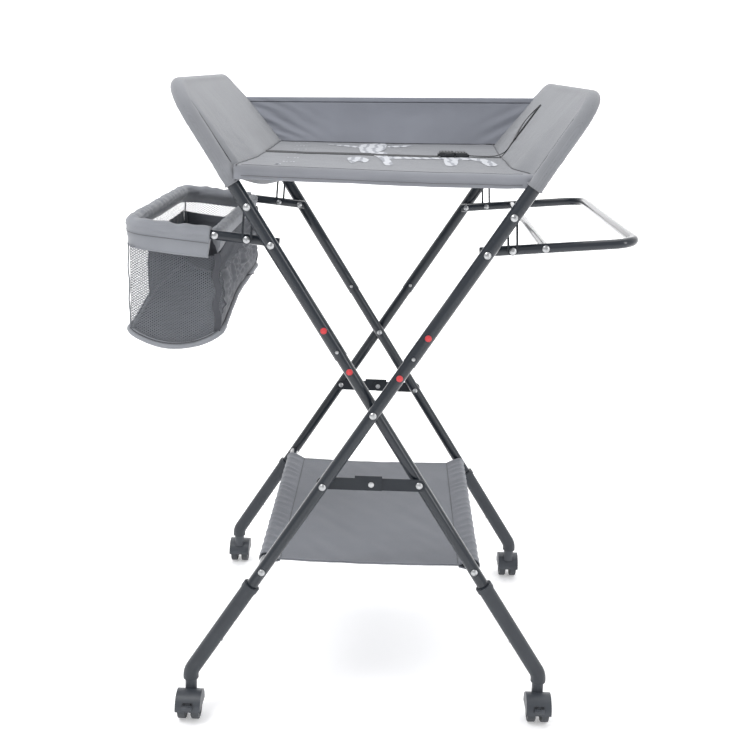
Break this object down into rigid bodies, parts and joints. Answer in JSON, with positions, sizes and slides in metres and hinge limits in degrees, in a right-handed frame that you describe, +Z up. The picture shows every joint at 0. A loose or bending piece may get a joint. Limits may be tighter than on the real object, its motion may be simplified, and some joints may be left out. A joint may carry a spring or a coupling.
{
  "type": "changing table",
  "caption": "Folding baby changing table on a crossed tube frame with casters, padded bed, side and back panels, sling shelf, mesh basket and towel rack.",
  "frame": {"origin": "on the floor under the X pivot, at the centre of the footprint", "axes": "+Z up, +X towards the towel rack, +Y towards the back panel"},
  "size_m": [0.7875, 0.686, 1.0212],
  "materials": {
    "frame_enamel": "gloss",
    "zinc": "polished",
    "link_enamel": "satin",
    "foot_plastic": "matt",
    "caster_plastic": "satin",
    "wheel_rubber": "matt",
    "red_button": "gloss",
    "buckle_plastic": "satin",
    "grey_fabric": "woven",
    "basket_fabric": "woven and mesh",
    "webbing": "woven"
  },
  "bodies": {
    "inner_frame": {"upper_frame_a": "frame_enamel", "lower_leg_a_front": "frame_enamel", "lower_leg_a_rear": "frame_enamel", "connectors_a": "zinc", "bed_bar_a": "frame_enamel", "shelf_bar_a": "frame_enamel", "fasteners_a": "zinc", "side_panel_left": "grey_fabric", "bed": "grey_fabric", "back_panel": "grey_fabric", "shelf": "grey_fabric", "strap": "webbing", "buckle_socket": "buckle_plastic", "buckle_clip": "buckle_plastic"},
    "outer_frame": {"upper_frame_b": "frame_enamel", "lower_leg_b_front": "frame_enamel", "lower_leg_b_rear": "frame_enamel", "connectors_b": "zinc", "bed_bar_b": "frame_enamel", "shelf_bar_b": "frame_enamel", "fasteners_b": "zinc", "side_panel_right": "grey_fabric", "strap_loop": "webbing"},
    "basket_swing": {"basket_arm": "frame_enamel", "basket_crossbar": "frame_enamel", "arm_bolts_left": "zinc", "basket": "basket_fabric"},
    "rack_swing": {"rack_arm": "frame_enamel", "rack_crossbar": "frame_enamel", "arm_bolts_right": "zinc"},
    "stay_pair_left": {"stays_left": "link_enamel"},
    "stay_pair_right": {"stays_right": "link_enamel"},
    "link_front_left": {"brace_front_left": "link_enamel"},
    "link_front_right": {"brace_front_right": "link_enamel"},
    "link_rear_left": {"brace_rear_left": "link_enamel"},
    "link_rear_right": {"brace_rear_right": "link_enamel"},
    "foot_a_front_slide": {"foot_a_front": "foot_plastic"},
    "foot_a_front_pin": {"foot_pin_a_front": "zinc"},
    "buttons_a_front_press": {"buttons_a_front": "red_button"},
    "caster_a_front": {"caster_hood_a_front": "caster_plastic"},
    "wheels_a_front": {"caster_wheels_a_front": "wheel_rubber"},
    "pedal_a_front": {"brake_pedal_a_front": "caster_plastic"},
    "foot_a_rear_slide": {"foot_a_rear": "foot_plastic"},
    "foot_a_rear_pin": {"foot_pin_a_rear": "zinc"},
    "buttons_a_rear_press": {"buttons_a_rear": "red_button"},
    "caster_a_rear": {"caster_hood_a_rear": "caster_plastic"},
    "wheels_a_rear": {"caster_wheels_a_rear": "wheel_rubber"},
    "pedal_a_rear": {"brake_pedal_a_rear": "caster_plastic"},
    "foot_b_front_slide": {"foot_b_front": "foot_plastic"},
    "foot_b_front_pin": {"foot_pin_b_front": "zinc"},
    "buttons_b_front_press": {"buttons_b_front": "red_button"},
    "caster_b_front": {"caster_hood_b_front": "caster_plastic"},
    "wheels_b_front": {"caster_wheels_b_front": "wheel_rubber"},
    "pedal_b_front": {"brake_pedal_b_front": "caster_plastic"},
    "foot_b_rear_slide": {"foot_b_rear": "foot_plastic"},
    "foot_b_rear_pin": {"foot_pin_b_rear": "zinc"},
    "buttons_b_rear_press": {"buttons_b_rear": "red_button"},
    "caster_b_rear": {"caster_hood_b_rear": "caster_plastic"},
    "wheels_b_rear": {"caster_wheels_b_rear": "wheel_rubber"},
    "pedal_b_rear": {"brake_pedal_b_rear": "caster_plastic"}
  },
  "joints": [
    {"name": "frame_fold", "type": "hinge", "parent": "inner_frame", "child": "outer_frame", "pos_m": [0, 0, 0.527], "axis": [0, -1, 0], "range_deg": [0, 50], "deforming": ["bed", "back_panel", "shelf", "strap"]},
    {"name": "basket_fold", "type": "hinge", "parent": "inner_frame", "child": "basket_swing", "pos_m": [-0.16119, 0, 0.78002], "axis": [0, 1, 0], "range_deg": [0, 40]},
    {"name": "rack_fold", "type": "hinge", "parent": "outer_frame", "child": "rack_swing", "pos_m": [0.16119, 0, 0.78002], "axis": [0, -1, 0], "range_deg": [0, 40]},
    {"name": "stay_left_turn", "type": "hinge", "parent": "inner_frame", "child": "stay_pair_left", "pos_m": [-0.19708, 0, 0.83636], "axis": [0, -1, 0], "range_deg": [0, 15]},
    {"name": "stay_right_turn", "type": "hinge", "parent": "outer_frame", "child": "stay_pair_right", "pos_m": [0.19708, 0, 0.83636], "axis": [0, 1, 0], "range_deg": [0, 15]},
    {"name": "brace_front_left_turn", "type": "hinge", "parent": "outer_frame", "child": "link_front_left", "pos_m": [-0.07576, 0, 0.40808], "axis": [0, -1, 0], "range_deg": [0, 52]},
    {"name": "brace_front_right_turn", "type": "hinge", "parent": "inner_frame", "child": "link_front_right", "pos_m": [0.07576, 0, 0.40808], "axis": [0, 1, 0], "range_deg": [0, 52]},
    {"name": "brace_rear_left_turn", "type": "hinge", "parent": "outer_frame", "child": "link_rear_left", "pos_m": [-0.07576, 0, 0.40808], "axis": [0, -1, 0], "range_deg": [0, 52]},
    {"name": "brace_rear_right_turn", "type": "hinge", "parent": "inner_frame", "child": "link_rear_right", "pos_m": [0.07576, 0, 0.40808], "axis": [0, 1, 0], "range_deg": [0, 52]},
    {"name": "height_a_front", "type": "slide", "parent": "inner_frame", "child": "foot_a_front_slide", "axis": [0.5373, 0, -0.8434], "range_m": [0, 0.082]},
    {"name": "height_pin_a_front", "type": "slide", "parent": "inner_frame", "child": "foot_a_front_pin", "axis": [0.8434, 0, 0.5373], "range_m": [0, 0.0045], "stiffness_N_per_m": 300, "springref_m": -0.002},
    {"name": "buttons_a_front_push", "type": "slide", "parent": "inner_frame", "child": "buttons_a_front_press", "axis": [0, 1, 0], "range_m": [0, 0.003], "stiffness_N_per_m": 300, "springref_m": -0.002},
    {"name": "swivel_a_front", "type": "hinge", "parent": "foot_a_front_slide", "child": "caster_a_front", "pos_m": [0.287, -0.266, 0.064], "axis": [0, 0, 1], "continuous": true},
    {"name": "roll_a_front", "type": "hinge", "parent": "caster_a_front", "child": "wheels_a_front", "pos_m": [0.287, -0.281, 0.023], "axis": [1, 0, 0], "continuous": true},
    {"name": "brake_a_front", "type": "hinge", "parent": "caster_a_front", "child": "pedal_a_front", "pos_m": [0.287, -0.3085, 0.033], "axis": [1, 0, 0], "range_deg": [0, 12]},
    {"name": "height_a_rear", "type": "slide", "parent": "inner_frame", "child": "foot_a_rear_slide", "axis": [0.5373, 0, -0.8434], "range_m": [0, 0.082]},
    {"name": "height_pin_a_rear", "type": "slide", "parent": "inner_frame", "child": "foot_a_rear_pin", "axis": [0.8434, 0, 0.5373], "range_m": [0, 0.0045], "stiffness_N_per_m": 300, "springref_m": -0.002},
    {"name": "buttons_a_rear_push", "type": "slide", "parent": "inner_frame", "child": "buttons_a_rear_press", "axis": [0, -1, 0], "range_m": [0, 0.003], "stiffness_N_per_m": 300, "springref_m": -0.002},
    {"name": "swivel_a_rear", "type": "hinge", "parent": "foot_a_rear_slide", "child": "caster_a_rear", "pos_m": [0.287, 0.266, 0.064], "axis": [0, 0, 1], "continuous": true},
    {"name": "roll_a_rear", "type": "hinge", "parent": "caster_a_rear", "child": "wheels_a_rear", "pos_m": [0.287, 0.281, 0.023], "axis": [1, 0, 0], "continuous": true},
    {"name": "brake_a_rear", "type": "hinge", "parent": "caster_a_rear", "child": "pedal_a_rear", "pos_m": [0.287, 0.3085, 0.033], "axis": [-1, 0, 0], "range_deg": [0, 12]},
    {"name": "height_b_front", "type": "slide", "parent": "outer_frame", "child": "foot_b_front_slide", "axis": [-0.5373, 0, -0.8434], "range_m": [0, 0.082]},
    {"name": "height_pin_b_front", "type": "slide", "parent": "outer_frame", "child": "foot_b_front_pin", "axis": [-0.8434, 0, 0.5373], "range_m": [0, 0.0045], "stiffness_N_per_m": 300, "springref_m": -0.002},
    {"name": "buttons_b_front_push", "type": "slide", "parent": "outer_frame", "child": "buttons_b_front_press", "axis": [0, 1, 0], "range_m": [0, 0.003], "stiffness_N_per_m": 300, "springref_m": -0.002},
    {"name": "swivel_b_front", "type": "hinge", "parent": "foot_b_front_slide", "child": "caster_b_front", "pos_m": [-0.287, -0.294, 0.064], "axis": [0, 0, 1], "continuous": true},
    {"name": "roll_b_front", "type": "hinge", "parent": "caster_b_front", "child": "wheels_b_front", "pos_m": [-0.287, -0.309, 0.023], "axis": [1, 0, 0], "continuous": true},
    {"name": "brake_b_front", "type": "hinge", "parent": "caster_b_front", "child": "pedal_b_front", "pos_m": [-0.287, -0.3365, 0.033], "axis": [1, 0, 0], "range_deg": [0, 12]},
    {"name": "height_b_rear", "type": "slide", "parent": "outer_frame", "child": "foot_b_rear_slide", "axis": [-0.5373, 0, -0.8434], "range_m": [0, 0.082]},
    {"name": "height_pin_b_rear", "type": "slide", "parent": "outer_frame", "child": "foot_b_rear_pin", "axis": [-0.8434, 0, 0.5373], "range_m": [0, 0.0045], "stiffness_N_per_m": 300, "springref_m": -0.002},
    {"name": "buttons_b_rear_push", "type": "slide", "parent": "outer_frame", "child": "buttons_b_rear_press", "axis": [0, -1, 0], "range_m": [0, 0.003], "stiffness_N_per_m": 300, "springref_m": -0.002},
    {"name": "swivel_b_rear", "type": "hinge", "parent": "foot_b_rear_slide", "child": "caster_b_rear", "pos_m": [-0.287, 0.294, 0.064], "axis": [0, 0, 1], "continuous": true},
    {"name": "roll_b_rear", "type": "hinge", "parent": "caster_b_rear", "child": "wheels_b_rear", "pos_m": [-0.287, 0.309, 0.023], "axis": [1, 0, 0], "continuous": true},
    {"name": "brake_b_rear", "type": "hinge", "parent": "caster_b_rear", "child": "pedal_b_rear", "pos_m": [-0.287, 0.3365, 0.033], "axis": [-1, 0, 0], "range_deg": [0, 12]}
  ],
  "couplings": [
    {"joint": "stay_left_turn", "follows": "basket_fold", "ratio": 0.37},
    {"joint": "stay_right_turn", "follows": "rack_fold", "ratio": 0.37},
    {"joint": "brace_front_left_turn", "follows": "frame_fold", "ratio": 1.0188},
    {"joint": "brace_front_right_turn", "follows": "frame_fold", "ratio": 1.0188},
    {"joint": "brace_rear_left_turn", "follows": "frame_fold", "ratio": 1.0188},
    {"joint": "brace_rear_right_turn", "follows": "frame_fold", "ratio": 1.0188}
  ]
}
